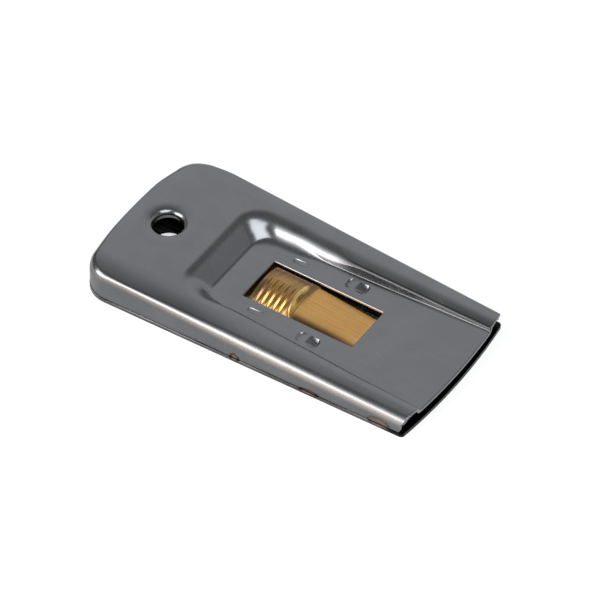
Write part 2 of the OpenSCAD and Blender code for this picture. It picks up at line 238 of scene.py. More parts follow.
def changing(x, behind, ahead, start, end):
    """Size that changes softly along the case."""
    return mix(behind, ahead, smooth(x, start, end))


def soft_max(a, b, width):
    """Larger of two heights, the corner between them rounded over width."""
    near = np.maximum(width - np.abs(a - b), 0) / width
    return np.maximum(a, b) + near * near * width / 4


def unit(v):
    return v / np.maximum(np.linalg.norm(v, axis=-1, keepdims=True), 1e-12)


def on_circle(turn):
    """Points on a circle of radius 1."""
    return np.stack([np.cos(turn), np.sin(turn)], 1)


def raised(flat, z):
    """Flat points or directions with a height."""
    return np.column_stack([flat, np.broadcast_to(z, len(flat))])


def top_z(x):
    """Height of the case's sloping top."""
    return FLOOR_Z + mix(RAIL_RISE, REAR_RISE, (CORNER_X - x) / (CORNER_X - REAR_X))


def side_half(x, inset):
    """Half width of the bottom plate's outline, drawn in by inset."""
    return FRONT_HALF + TAPER * (CORNER_X - x) - inset * TAPER_LEAN


def corner_middle(arc_x, arc_r, inset, radius, ahead):
    """Middle of the circle that touches a side of the outline and an end arc."""
    a = side_half(0, inset + radius)
    reach = arc_r - radius
    p = -a * TAPER - arc_x
    q = math.sqrt(p * p - (1 + TAPER * TAPER) * (arc_x * arc_x + a * a - reach * reach))
    x = (-p + ahead * q) / (1 + TAPER * TAPER)
    return np.array([x, a - TAPER * x])


REAR_MIDDLE = corner_middle(REAR_ARC_X, REAR_ARC, 0, REAR_CORNER, -1)
FRONT_MIDDLE = corner_middle(FRONT_ARC_X, FRONT_ARC, PLATE_LIP, FRONT_CORNER, 1)
REAR_ANGLE = math.atan2(REAR_MIDDLE[1], REAR_MIDDLE[0] - REAR_ARC_X)
FRONT_ANGLE = math.atan2(FRONT_MIDDLE[1], FRONT_MIDDLE[0] - FRONT_ARC_X)


def edge_radius(x, y):
    """Radius of the outer edge: tight at the rear, wide at its corners and along the near side."""
    far = smooth(y, *EDGE_FAR_Y)
    corner = smooth(np.abs(y), *EDGE_CORNER_Y) * smooth(x, *EDGE_CORNER_X)
    edge = changing(x, REAR_EDGE, mix(NEAR_EDGE, FAR_EDGE, far), *EDGE_SIDE_X)
    return mix(edge, mix(NEAR_CORNER_EDGE, FAR_CORNER_EDGE, far), corner)


def edge_inset(turn, x, y):
    """How far inside the outline the outer edge has a turn: a bend that eases into the wall."""
    bend = edge_radius(x, y) * (math.sin(EDGE_TURN) - math.sin(min(turn, EDGE_TURN)))
    return PLATE_LIP + bend + WALL_RADIUS * (1 - math.sin(max(turn, EDGE_TURN)))


def edge_fall(turn, x, y):
    """How far the outer edge has fallen from the top at a turn."""
    bend = edge_radius(x, y) * (1 - math.cos(min(turn, EDGE_TURN)))
    return bend + WALL_RADIUS * (math.cos(EDGE_TURN) - math.cos(max(turn, EDGE_TURN)))


def front_x(y):
    """Where the front edge of the upper sheet lies, inside its rounded rim."""
    return FRONT_ARC_X + np.sqrt((FRONT_ARC - RIM) ** 2 - y * y)


def rail_end_x(inset):
    """Where a line along the side, drawn in by inset, meets the front edge."""
    low, high = FAR_RELIEF_X, FRONT_X + 1
    for _ in range(RAIL_HALVINGS):
        x = (low + high) / 2
        y = side_half(x, inset)
        dx, dy = x - FRONT_MIDDLE[0], y - FRONT_MIDDLE[1]
        angle = math.atan2(dy, dx)
        if angle > FRONT_ANGLE:
            outside = angle < SIDE_ANGLE and math.hypot(dx, dy) > FRONT_CORNER - RIM
        else:
            outside = x > front_x(y)
        low, high = (low, x) if outside else (x, high)
    return low


def ring(turn, to_front):
    """Points round the case where its outer edge has a turn, their outward directions and falls."""
    corner_out = on_circle(np.linspace(SIDE_ANGLE, REAR_ANGLE, CORNER_STATIONS))
    rear_out = on_circle(np.linspace(REAR_ANGLE, math.pi, REAR_STATIONS)[1:])
    corner = REAR_MIDDLE + REAR_CORNER * corner_out
    rear = np.array([REAR_ARC_X, 0]) + REAR_ARC * rear_out

    def half(relief_x, side):
        xs = np.concatenate([np.linspace(relief_x, *RAIL_STATIONS), np.linspace(*SIDE_STATIONS)])
        if to_front:
            end_x = rail_end_x(edge_inset(turn, FRONT_X, side * FRONT_HALF))
            xs = np.concatenate([np.linspace(end_x, relief_x, FRONT_STATIONS, endpoint=False), xs])
        base = np.concatenate([np.stack([xs, side_half(xs, 0)], 1), corner, rear]) * (1, side)
        out = np.concatenate([np.tile(SIDE_NORMAL, (len(xs), 1)), corner_out, rear_out]) * (1, side)
        inset = edge_inset(turn, *base.T)
        flat = base - inset[:, None] * out
        flat[:len(xs), 0] = xs
        flat[:len(xs), 1] = side * side_half(xs, inset[:len(xs)])
        return flat, out, edge_fall(turn, *base.T)

    far, near = half(FAR_RELIEF_X, 1), half(NEAR_RELIEF_X, -1)
    return [np.concatenate([a, b[-2::-1]]) for a, b in zip(far, near)]


def edge_distance(x, y):
    """Distance of a point inside the bottom plate's outline, away from the front."""
    y = np.abs(y)
    side = (side_half(x, 0) - y) / TAPER_LEAN
    rear = REAR_ARC - np.hypot(x - REAR_ARC_X, y)
    dx, dy = x - REAR_MIDDLE[0], y - REAR_MIDDLE[1]
    turn = np.arctan2(dy, dx)
    in_corner = (turn > SIDE_ANGLE) & (turn < REAR_ANGLE)
    return np.where(in_corner, REAR_CORNER - np.hypot(dx, dy), np.minimum(side, rear))


def channel_reach(x, y):
    """How far a point lies outside the channel's foot, and how much it faces the rear wall."""
    low, high = (np.full(np.shape(x), limit) for limit in REACH_LIMITS)
    for _ in range(REACH_HALVINGS):
        reach = (low + high) / 2
        radius = CHANNEL_CORNER + CORNER_GROWTH * reach
        side = (np.abs(y) - CHANNEL_BACK_HALF - reach - FLARE * (x - CHANNEL_X)) / FLARE_LEAN
        back = CHANNEL_X - BACK_REACH * reach - x
        a, b = np.maximum(side + radius, 0), np.maximum(back + radius, 0)
        outside = np.where((a > 0) & (b > 0), np.hypot(a, b) > radius, np.maximum(side, back) > 0)
        low, high = np.where(outside, reach, low), np.where(outside, high, reach)
    return (low + high) / 2, np.arctan2(b, np.maximum(a, 1e-9)) / (math.pi / 2)


def side_wall(x, y):
    """Bends of the channel's side wall: its turn, foot and edge radii, and the crown above its edge."""
    near = y < 0
    front_edge = np.where(near, changing(x, *NEAR_WALL_EDGE), FAR_WALL_EDGE)
    x = x + np.where(near, NEAR_LEAD, 0) * smooth(x, *LEAD_X)
    turn = np.radians(changing(x, *WALL_TURN) + changing(x, *MOUTH_TURN))
    foot = changing(x, *WALL_FOOT) + changing(x, *MOUTH_FOOT)
    edge = changing(x, BACK_WALL_EDGE, front_edge, *FRONT_WALL_X)
    crown = changing(x, BACK_CROWN, np.where(near, NEAR_CROWN, FAR_CROWN), *FRONT_WALL_X)
    return turn, foot, edge, np.radians(changing(x, *WALL_CROWN_TURN)), crown


def wall_spans(rise, turn, foot, edge, crown_turn, crown):
    """Turn of a wall that its rise leaves room for, and the widths of its foot, slope, edge and crown."""
    crown_fall = crown * (1 - np.cos(crown_turn))
    limit = (crown_fall + edge * np.cos(crown_turn) + foot - rise) / (edge + foot)
    turn = np.minimum(turn, np.arccos(np.clip(limit, -1, 1)))
    bends = foot * (1 - np.cos(turn)) + edge * (np.cos(crown_turn) - np.cos(turn)) + crown_fall
    slope = np.maximum(rise - bends, 0) / np.tan(turn)
    edge_width = edge * (np.sin(turn) - np.sin(crown_turn))
    return turn, foot * np.sin(turn), slope, edge_width, crown * np.sin(crown_turn)


def wall_rise(reach, rise, turn, foot, edge, crown_turn, crown):
    """Height above the channel's floor at a distance outside the wall's foot."""
    turn, *widths = wall_spans(rise, turn, foot, edge, crown_turn, crown)
    foot_width, _, edge_width, crown_width = widths
    out = np.maximum(reach + foot * np.tan(turn / 2), 0)
    inward = np.maximum(sum(widths) - out, 0)
    bend = foot - np.sqrt(foot * foot - np.minimum(out, foot_width) ** 2)
    lower = bend + np.maximum(out - foot_width, 0) * np.tan(turn)
    low, high = edge * np.sin(crown_turn), edge * np.sin(turn)
    across = np.clip(inward - crown_width + low, low, high)
    crown_fall = crown - np.sqrt(crown * crown - np.minimum(inward, crown_width) ** 2)
    edge_top = crown * (1 - np.cos(crown_turn)) + edge * np.cos(crown_turn)
    edge_drop = edge_top - np.sqrt(edge * edge - across * across)
    upper = rise - np.where(inward < crown_width, crown_fall, edge_drop)
    return np.where(inward < crown_width + edge_width, upper, lower)


def channel_z(x, y):
    """Height of the top and the channel, before its edge falls away."""
    reach, facing_back = channel_reach(x, y)
    rise = top_z(x) - FLOOR_Z
    side = wall_rise(reach, rise, *side_wall(x, y))
    back = wall_rise(BACK_REACH * reach, rise, BACK_TURN, BACK_FOOT, BACK_EDGE, BACK_TURN / 2, BACK_EDGE)
    return FLOOR_Z + mix(side, back, smooth(facing_back))


def wall_reach(x, side, part, share):
    """Distance outside the channel's foot of a place on its side wall, part 0 to 3 from foot to crown."""
    turn, foot, *rest = side_wall(x, side)
    limited, *widths = wall_spans(top_z(x) - FLOOR_Z, turn, foot, *rest)
    return float(sum(widths[:part]) + share * widths[part] - foot * np.tan(limited / 2))


def box_distance(x, y, x_span, y_span, radius):
    """Distance outside a box with rounded corners; negative inside it."""
    mid_x, mid_y = sum(x_span) / 2, sum(y_span) / 2
    dx = np.abs(x - mid_x) - (x_span[1] - x_span[0]) / 2 + radius
    dy = np.abs(y - mid_y) - (y_span[1] - y_span[0]) / 2 + radius
    return np.hypot(np.maximum(dx, 0), np.maximum(dy, 0)) + np.minimum(np.maximum(dx, dy), 0) - radius


def pressed(depth, distance):
    """Depth pressed inside an outline, limited by steep walls along it."""
    return soft_max(0, -soft_max(-depth, PRESS_SLOPE * distance, PRESS_FOOT), PRESS_BRIM)


def slot_depth(x, y):
    """Depth of the rear slots, which run out towards the front."""
    depth = mix(*SLOT_DEPTH, share_along(x, *SLOT_X))
    return pressed(depth, box_distance(x, y, SLOT_X, SLOT_Y, SLOT_CORNER))


def dimple_depth(x, y):
    """Depth of the front dimples: a step at the rear, a saddle, and a floor that falls to a steep end."""
    along = share_along(x, *DIMPLE_X)
    across = (y - sum(DIMPLE_Y) / 2) / (DIMPLE_Y[1] - DIMPLE_Y[0]) * 2
    behind = DIMPLE_DEPTH[0] * np.maximum(1 - along / DIMPLE_SADDLE, 0) ** 1.5
    ahead = DIMPLE_DEPTH[1] * np.maximum((along - DIMPLE_SADDLE) / (1 - DIMPLE_SADDLE), 0) ** 1.2
    bowl = (behind + ahead) * np.maximum(1 - across ** 4, 0)
    return pressed(bowl, box_distance(x, y, DIMPLE_X, DIMPLE_Y, DIMPLE_CORNER))


def rim_drop(distance, width, turn):
    """How far a face has fallen at a distance from a rim, where it leans by a turn."""
    near = np.clip(1 - distance / width, 0, 1.5)
    return near * near * width * math.tan(turn) / 2


def case_z(x, y):
    """Height of the case's upper face over its top, channel and pressed guides."""
    z = channel_z(x, y)
    crown = rim_drop(edge_distance(x, y) - edge_inset(CROWN_TURN, x, y), CROWN_WIDTH, CROWN_TURN)
    dish = rim_drop(np.hypot(x - HOLE_MIDDLE[0], y) - HOLE_EDGE, DISH_WIDTH, DISH_TURN)
    z = z - crown * (z - FLOOR_Z) / (top_z(x) - FLOOR_Z) - dish
    return z - slot_depth(x, np.abs(y)) - dimple_depth(x, np.abs(y))


def channel_line(part, share):
    """Line round the channel, open at the front, through one place on its walls."""
    sides = np.concatenate([np.linspace(*MOUTH_LINE_X), np.linspace(*SIDE_LINE_X)])
    turns = np.linspace(math.pi / 2 + math.atan(FLARE), math.pi, 24)
    across = np.linspace(1, 0, 9)[1:]

    def half(side):
        def side_point(x):
            return x, CHANNEL_BACK_HALF + wall_reach(x, side, part, share) + FLARE * (x - CHANNEL_X)

        line = []
        for x in sides:
            if x == sides[0]:
                for _ in range(4):
                    x = front_x(side_point(x)[1]) - MOUTH_MARGIN
            line.append(side_point(x))
        for turn in turns:
            corner_x = CHANNEL_X
            for _ in range(12):
                run = wall_reach(corner_x, side, part, share)
                radius = CHANNEL_CORNER + CORNER_GROWTH * run
                x = CHANNEL_X - BACK_REACH * run + radius
                y = CHANNEL_BACK_HALF + run + FLARE * (x - CHANNEL_X) - radius * FLARE_LEAN
                corner_x = x + radius * math.cos(turn)
            line.append((corner_x, y + radius * math.sin(turn)))
        end_x, end_y = line[-1]
        return np.array(line + [(end_x, end_y * t) for t in across]) * (1, side)

    return np.concatenate([half(1), half(-1)[-2::-1]])


def rounded_box(x_span, y_span, radius, grow, steps):
    """Closed outline of a box with rounded corners, grown outwards."""
    (back, front), (near, far) = x_span, y_span
    middles = ((front - radius, far - radius), (back + radius, far - radius),
               (back + radius, near + radius), (front - radius, near + radius))
    points = []
    for quarter, middle in enumerate(middles):
        turn = np.linspace(0, math.pi / 2, steps) + quarter * math.pi / 2
        points.append(np.array(middle) + (radius + grow) * on_circle(turn))
    return np.concatenate(points)


def along_edges(points, spacing):
    """Closed outline with its long edges divided."""
    out = []
    for a, b in zip(points, np.roll(points, -1, 0)):
        count = max(1, int(round(np.linalg.norm(b - a) / spacing)))
        out.append(a + (b - a) * np.arange(count)[:, None] / count)
    return np.concatenate(out)


def grid_spots(xs, ys):
    """Points of a flat grid, row by row."""
    return np.stack([values.ravel() for values in np.meshgrid(xs, ys)], 1)


def inside(points, loop):
    """Which points lie inside a closed outline."""
    x, y = points[:, 0][:, None], points[:, 1][:, None]
    ax, ay = loop[:, 0], loop[:, 1]
    bx, by = np.roll(ax, -1), np.roll(ay, -1)
    cross = (ay > y) != (by > y)
    reach = ax + (y - ay) * (bx - ax) / np.where(by == ay, 1e-12, by - ay)
    return (np.sum(cross & (x < reach), 1) % 2).astype(bool)


def pressed_face(outline, holes, lines, spots, height):
    """Points, normals and triangles of a pressed sheet's face inside an outline."""
    coords, edges = [], []
    for line, closed in [(outline, True)] + [(h, True) for h in holes] + lines:
        first = len(coords)
        coords += [Vector(p) for p in line]
        edges += [(first + i, first + i + 1) for i in range(len(line) - 1)]
        if closed:
            edges.append((first + len(line) - 1, first))
    coords += [Vector(p) for p in spots]
    verts, _, faces = delaunay_2d_cdt(coords, edges, [], 0, 1e-5)[:3]
    flat = np.array([tuple(v) for v in verts])
    faces = np.array([f for f in faces if len(f) == 3])
    a, b, c = (flat[faces[:, i]] for i in range(3))
    area = (b[:, 0] - a[:, 0]) * (c[:, 1] - a[:, 1]) - (b[:, 1] - a[:, 1]) * (c[:, 0] - a[:, 0])
    faces[area < 0] = faces[area < 0][:, ::-1]
    middle = (a + b + c) / 3
    longest = np.max([np.linalg.norm(q - p, axis=1) for p, q in ((a, b), (b, c), (c, a))], 0)
    border = {tuple(p) for p in np.round(outline, 4)}
    on_border = np.array([tuple(p) in border for p in np.round(flat, 4)])
    sliver = on_border[faces].all(1) & (np.abs(area) < longest * SLIVER)
    keep = inside(middle, outline) & ~sliver
    for hole in holes:
        keep &= ~inside(middle, hole)
    used, faces = np.unique(faces[keep], return_inverse=True)
    x, y = flat[used].T
    lean_x = (height(x + SLOPE_STEP, y) - height(x - SLOPE_STEP, y)) / (2 * SLOPE_STEP)
    lean_y = (height(x, y + SLOPE_STEP) - height(x, y - SLOPE_STEP)) / (2 * SLOPE_STEP)
    points = np.stack([x, y, height(x, y)], 1)
    normals = unit(np.stack([-lean_x, -lean_y, np.ones_like(x)], 1))
    return points, normals, [tuple(f) for f in faces.reshape(-1, 3)]


def grid_face(points, normals):
    """Points, normals and faces of a grid, facing the way its normals do."""
    points, normals = np.array(points), np.array(normals)
    rows, cols = points.shape[:2]
    index = np.arange(rows * cols).reshape(rows, cols)
    quads = np.stack([index[:-1, :-1], index[:-1, 1:], index[1:, 1:], index[1:, :-1]], -1).reshape(-1, 4)
    flat, out = points.reshape(-1, 3), normals.reshape(-1, 3)
    a, b, c, d = (flat[quads[:, i]] for i in range(4))
    facing = np.sum(np.cross(c - a, d - b) * out[quads].mean(1), 1)
    quads[facing < 0] = quads[facing < 0][:, ::-1]
    return flat, out, [tuple(q) for q in quads]


def welded(faces_list):
    """Joins faces that share points into one face."""
    points, normals, faces, first = [], [], [], 0
    for p, n, f in faces_list:
        points.append(p)
        normals.append(n)
        faces += [tuple(i + first for i in q) for q in f]
        first += len(p)
    points, normals = np.concatenate(points), np.concatenate(normals)
    _, keep, back = np.unique(np.round(points, 3), axis=0, return_index=True, return_inverse=True)
    back = back.reshape(-1)
    merged = []
    for q in faces:
        q = [int(back[i]) for i in q]
        q = [v for i, v in enumerate(q) if v != q[i - 1]]
        if len(q) > 2:
            merged.append(tuple(q))
    return points[keep], normals[keep], merged


def border_loops(faces):
    """Closed chains of edges that belong to one face only."""
    edges = dict.fromkeys(edge for q in faces for edge in zip(q, q[1:] + q[:1]))
    follow = {a: b for a, b in edges if (b, a) not in edges}
    loops = []
    while follow:
        start, following = next(iter(follow.items()))
        loop = [start]
        del follow[start]
        while following != start and following in follow:
            loop.append(following)
            following = follow.pop(following)
        loops.append(loop)
    return loops


def sheet_solid(face, thickness, rim, depth):
    """Sheet of even thickness under a face: points, normals, faces and how many faces precede its rims."""
    points, normals, faces = face
    count, rolled = len(points), 2 * len(faces)
    all_points, all_normals = [points, points - thickness * normals], [normals, -normals]
    all_faces = list(faces) + [tuple(count + i for i in q[::-1]) for q in faces]
    first = 2 * count
    steps = range(1, RIM_STEPS + 1)
    for loop in border_loops(faces):
        p, n = points[loop], normals[loop]
        along = unit(np.roll(p, -1, 0) - p) + unit(p - np.roll(p, 1, 0))
        out = unit(np.cross(along, n))
        rows = [np.array(loop)]
        for step, up in [(k, 1) for k in steps] + [(k, -1) for k in reversed(steps)]:
            turn = math.pi / 2 * step / RIM_STEPS
            fall = depth * (1 - math.cos(turn))
            sink = fall if up > 0 else thickness - fall
            all_points.append(p + rim * math.sin(turn) * out - sink * n)
            all_normals.append(unit(math.sin(turn) / rim * out + up * math.cos(turn) / depth * n))
            rows.append(first + np.arange(len(loop)))
            first += len(loop)
        rows.append(count + np.array(loop))
        for upper, lower in zip(rows, rows[1:]):
            for i in range(len(loop)):
                j = (i + 1) % len(loop)
                all_faces.append((upper[i], lower[i], lower[j], upper[j]))
    return np.concatenate(all_points), np.concatenate(all_normals), all_faces, rolled


def add_object(name, data):
    """Object in the scene."""
    thing = bpy.data.objects.new(name, data)
    scene.collection.objects.link(thing)
    return thing


def make_piece(name, solid, body, node):
    """Smooth piece that stands for a CAD node and rides on its body."""
    points, normals, faces, rolled = solid
    mesh = bpy.data.meshes.new(name)
    mesh.from_pydata((points * MM).tolist(), [], [[int(i) for i in q] for q in faces])
    mesh.polygons.foreach_set("material_index", [0] * rolled + [1] * (len(faces) - rolled))
    mesh.validate()
    mesh.shade_smooth()
    mesh.normals_split_custom_set_from_vertices(unit(normals).tolist())
    piece = add_object(name, mesh)
    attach(piece, body)
    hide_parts(node)
    return piece


def edge_face(top):
    """Rounded edge round the case, from its crown to where it is upright."""
    points, normals = [], []
    bend, ease = np.linspace(CROWN_TURN, EDGE_TURN, 13), np.linspace(EDGE_TURN, math.pi / 2, 6)
    for turn in np.concatenate([bend, ease[1:]]):
        flat, out, fall = ring(turn, True)
        points.append(raised(flat, top - fall))
        normals.append(unit(math.sin(turn) * raised(out, 0) + math.cos(turn) * np.array([TOP_LEAN, 0, 1])))
    return grid_face(points, normals)


def wall_face(top):
    """Upright walls of the case, below its rounded edge and behind its front reliefs."""
    flat, out, fall = ring(math.pi / 2, False)
    high = top[FRONT_STATIONS:-FRONT_STATIONS] - fall
    walls = [raised(flat, mix(high, PLATE + RIM, t)) for t in np.linspace(0, 1, 6)]
    return grid_face(walls, [raised(out, 0)] * len(walls))


def hole_face(circle):
    """Drawn-in lip of the hang hole."""
    circle = np.concatenate([circle, circle[:1]])
    brim = case_z(*(HOLE_MIDDLE + HOLE_EDGE * circle).T)
    points, normals = [], []
    for turn in np.linspace(DISH_TURN, math.pi / 2, 14):
        flat = HOLE_MIDDLE + (HOLE_RADIUS + HOLE_ROUND * (1 - math.sin(turn))) * circle
        points.append(raised(flat, brim - HOLE_ROUND * (math.cos(DISH_TURN) - math.cos(turn))))
        normals.append(raised(-circle * math.sin(turn), math.cos(turn)))
    points.append(raised(flat, top_z(HOLE_MIDDLE[0]) - HOLE_LIP - RIM))
    return grid_face(points, normals + normals[-1:])


def case_face():
    """Upper face of the case: its top and channel, rounded edge, walls and drawn-in hole."""
    crown, _, crown_fall = ring(CROWN_TURN, True)
    front_y = np.linspace(crown[-1, 1], crown[0, 1], 150)[1:-1]
    outline = np.concatenate([crown, np.stack([front_x(front_y), front_y], 1)])
    window = rounded_box((WINDOW_X[0] - RIM, WINDOW_X[1] + RIM), (-WINDOW_HALF - RIM, WINDOW_HALF + RIM),
                         WINDOW_CORNER, 0, 5)
    circle = on_circle(np.linspace(0, 2 * math.pi, 72, endpoint=False))
    holes = [along_edges(window, WINDOW_SPACING), HOLE_MIDDLE + HOLE_EDGE * circle]

    lines = [(HOLE_MIDDLE + (HOLE_EDGE + DISH_WIDTH * share) * circle, True) for share in DISH_SHARES]
    for part, shares in enumerate(WALL_SHARES):
        lines += [(channel_line(part, share), False) for share in shares]
    for x_span, y_span, corner, growths in ((SLOT_X, SLOT_Y, SLOT_CORNER, SLOT_GROWTHS),
                                            (DIMPLE_X, DIMPLE_Y, DIMPLE_CORNER, DIMPLE_GROWTHS)):
        for grow in growths:
            loop = along_edges(rounded_box(x_span, y_span, corner, grow, 11), PRESS_SPACING)
            lines += [(loop, True), (loop * np.array([1, -1]), True)]
    front_row = np.linspace(-FRONT_ROW_HALF, FRONT_ROW_HALF, 60)
    lines += [(np.stack([front_x(front_row) - back, front_row], 1), False) for back in FRONT_ROWS]
    spots = grid_spots(np.arange(*CASE_SPOTS_X), np.arange(*CASE_SPOTS_Y))
    spots = spots[inside(spots, outline * SPOT_MARGIN)]

    top = case_z(crown[:, 0], crown[:, 1]) + crown_fall
    face = pressed_face(outline, holes, lines, spots, case_z)
    return welded([face, edge_face(top), wall_face(top), hole_face(circle)])


def along_tongue(x):
    return share_along(x, HUMP_FRONT_X, LAP_X)


def strip_half(x):
    """Half width of the brass strip's hump and tongue."""
    return mix(HUMP_HALF, TONGUE_HALF, along_tongue(x))


def ridge(x):
    """Height of the thumb ridges along the hump and of the broad roll ahead of them."""
    ridges = np.sin(math.pi * RIDGE_COUNT * share_along(x, *RIDGE_X)) ** 2
    return RIDGE_HEIGHT * (ridges + ROLL_SHARE * np.sin(math.pi * share_along(x, *ROLL_X)) ** 2)


def strip_z(x, y):
    """Height of the brass strip's upper face."""
    share = np.abs(y) / strip_half(x)
    x = x + HUMP_BOW * np.maximum(1 - share * share, 0) * smooth(x, *BOW_X) * smooth(x, *BOW_END_X)
    fall = smooth((HUMP_FRONT_X - x) / (HUMP_FRONT_SHARE * HUMP_LENGTH))
    hump = smooth((x - HUMP_BACK_X) / (HUMP_BACK_SHARE * HUMP_LENGTH)) * fall
    tongue = np.where(x < HUMP_BACK_X, 0, (1 - fall) * (1 - along_tongue(x) ** 4))
    low = mix(WING_Z, LAP_Z, along_tongue(x)) - TONGUE_CROWN * tongue
    edge = mix(low, CROWN_Z - RIDGE_HEIGHT - HUMP_CROWN, hump)
    near_share = np.maximum(-y, 0) / strip_half(x)
    lean_share = (y - HUMP_LEAN) / strip_half(x)
    crown = HUMP_CROWN * hump * (1 - lean_share ** 2) + TONGUE_CROWN * tongue * (1 - near_share ** 5)
    z = edge + ridge(x) * (1 - share ** 4) * mix(1, FAR_RIDGE_SHARE, smooth(y, *RIDGE_FADE_Y)) + crown
    wing = smooth((np.abs(y) - HUMP_HALF + WING_BEND / 2) / WING_BEND)
    return mix(z, WING_Z, np.where(x < WING_END_X, wing, 0))


def strip_face():
    """Upper face of the brass thumb slide: tail, wings, ridged hump, tongue and lap."""
    def fillet(x, y, radius, start, end):
        turn = np.radians(np.linspace(start, end, 7))
        return [(x + radius * math.cos(t), y + radius * math.sin(t)) for t in turn]

    wing, tail, step = WING_HALF - STRIP_RIM, TAIL_X + STRIP_RIM, HUMP_FRONT_X - STRIP_RIM
    tongue, end, lap = TONGUE_START_HALF - STRIP_RIM, LAP_END_X - STRIP_RIM, TONGUE_HALF - STRIP_RIM
    far = [(end, 0), (end, lap - LAP_CORNER)]
    far += fillet(end - LAP_CORNER, lap - LAP_CORNER, LAP_CORNER, 0, 90)
    far += [(LAP_X, lap)]
    far += fillet(step + STEP_CORNER, tongue + STEP_CORNER, STEP_CORNER, 270, 180)
    far += fillet(step - WING_CORNER, wing - WING_CORNER, WING_CORNER, 0, 90)
    far += fillet(tail + TAIL_CORNER, wing - TAIL_CORNER, TAIL_CORNER, 90, 180)
    far = np.array(far + [(tail, 0)])
    near = (far * np.array([1, -1]))[-2:0:-1]
    outline = along_edges(np.concatenate([far, near]), STRIP_SPACING)

    across = np.linspace(-1, 1, 41) * HUMP_LINE_HALF
    along = np.linspace(*WING_LINE_X)
    lines = [(grid_spots([x], across), False) for x in np.linspace(*HUMP_LINES_X)]
    for side in (1, -1):
        lines += [(grid_spots(along, [side * y]), False) for y in np.linspace(*WING_LINES_Y)]
    spots = grid_spots(np.linspace(*TONGUE_SPOTS_X), np.linspace(*TONGUE_SPOTS_Y))
    return pressed_face(outline, [], lines, spots, strip_z)


case_sheet = sheet_solid(case_face(), SHEET, RIM, RIM_DEPTH)
slide_sheet = sheet_solid(strip_face(), STRIP, STRIP_RIM, STRIP_RIM)
upper_case = make_piece("case_shell", case_sheet, "case", "upper_case")
thumb_slide = make_piece("brass_slide", slide_sheet, "slide", "thumb_slide")

# Small breaks on the edges of the pieces that keep their CAD shapes, in millimetres
EDGE_BREAKS = {"lower_plate": 0.12, "blade_carrier": 0.08, "carrier_rivets": 0.08, "blade_spine": 0.05}
for name, width in EDGE_BREAKS.items():
    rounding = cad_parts[name].modifiers.new("edge_break", "BEVEL")
    rounding.width = width * MM
    rounding.segments = 3
    rounding.limit_method = "ANGLE"
    rounding.angle_limit = math.radians(40)


# Node helpers
def is_socket(value):
    return isinstance(value, bpy.types.NodeSocket)


def fill(node, inputs):
    """Sets a node's inputs, each to a value or a socket to link."""
    for name, value in inputs.items():
        if is_socket(value):
            node.id_data.links.new(value, node.inputs[name])
        else:
            node.inputs[name].default_value = value


def add_node(tree, kind, inputs=None, **settings):
    """Node with its settings and inputs."""
    node = tree.nodes.new(kind)
    for name, value in settings.items():
        setattr(node, name, value)
    fill(node, inputs or {})
    return node


def node_after(kind, inputs, **settings):
    """Node in the same tree as the sockets among its inputs."""
    tree = next(value.id_data for value in inputs.values() if is_socket(value))
    return add_node(tree, kind, inputs, **settings)


def figure(operation, *values):
    """Result of arithmetic on values and sockets."""
    return node_after("ShaderNodeMath", dict(enumerate(values)), operation=operation).outputs[0]


def times(first, *others):
    """Product of values and sockets."""
    for value in others:
        first = figure("MULTIPLY", first, value)
    return first


def rest_of(share):
    """What a share leaves of 1."""
    return figure("SUBTRACT", 1, share)


def added_up(start, *shares):
    """Starting value with weighted sockets added to it."""
    for socket, weight in shares:
        start = figure("MULTIPLY_ADD", socket, weight, start)
    return start


def eased(value, start, end, low=0, high=1):
    """Value eased from low to high between two limits."""
    limits = {"Value": value, "From Min": start, "From Max": end, "To Min": low, "To Max": high}
    return node_after("ShaderNodeMapRange", limits, interpolation_type="SMOOTHSTEP").outputs["Result"]


def blend(share, first, second):
    """Colour between two, each a colour or a socket."""
    first, second = (color if is_socket(color) else (*color, 1) for color in (first, second))
    return node_after("ShaderNodeMix", {"Factor": share, 6: first, 7: second}, data_type="RGBA").outputs[2]


def moved(operation, *values):
    """Result of arithmetic on vectors."""
    return node_after("ShaderNodeVectorMath", dict(enumerate(values)), operation=operation).outputs[0]


def length(vector):
    return node_after("ShaderNodeVectorMath", {0: vector}, operation="LENGTH").outputs["Value"]


def noise(place, scale, detail):
    return node_after("ShaderNodeTexNoise", {"Vector": place, "Scale": scale, "Detail": detail}).outputs[0]


def split(vector):
    return node_after("ShaderNodeSeparateXYZ", {"Vector": vector}).outputs


def new_material(name):
    """Material and its principled shader."""
    material = bpy.data.materials.new(name)
    material.use_nodes = True
    return material, material.node_tree.nodes["Principled BSDF"]


def new_metal(name):
    """Material of a metal, and the place on the object in millimetres."""
    material, _ = new_material(name)
    here = add_node(material.node_tree, "ShaderNodeTexCoord").outputs["Object"]
    return material, moved("MULTIPLY", here, (1 / MM, 1 / MM, 1 / MM))


def finish_metal(material, color, roughness, height, depth):
    """Metal with its colour, roughness and fine relief, whose depth is in millimetres."""
    relief = node_after("ShaderNodeBump", {"Height": height, "Distance": depth * MM}).outputs["Normal"]
    fill(material.node_tree.nodes["Principled BSDF"], {
        "Metallic": 1, "Base Color": color, "Roughness": roughness, "Normal": relief})
    return material


def paint(thing, *materials):
    thing.data.materials.clear()
    for material in materials:
        thing.data.materials.append(material)


# Shared effects
NUMBER, VECTOR, COLOR = "NodeSocketFloat", "NodeSocketVector", "NodeSocketColor"


def new_effect(name, inputs, outputs):
    """Node group with named sockets, and what is put into it."""
    tree = bpy.data.node_groups.new(name, "ShaderNodeTree")
    for in_out, sockets in (("INPUT", inputs), ("OUTPUT", outputs)):
        for label, kind in sockets.items():
            tree.interface.new_socket(label, in_out=in_out, socket_type=kind)
    return tree, tree.nodes.new("NodeGroupInput").outputs


def put_out(tree, **results):
    """Node group with its results linked."""
    add_node(tree, "NodeGroupOutput", results)
    return tree


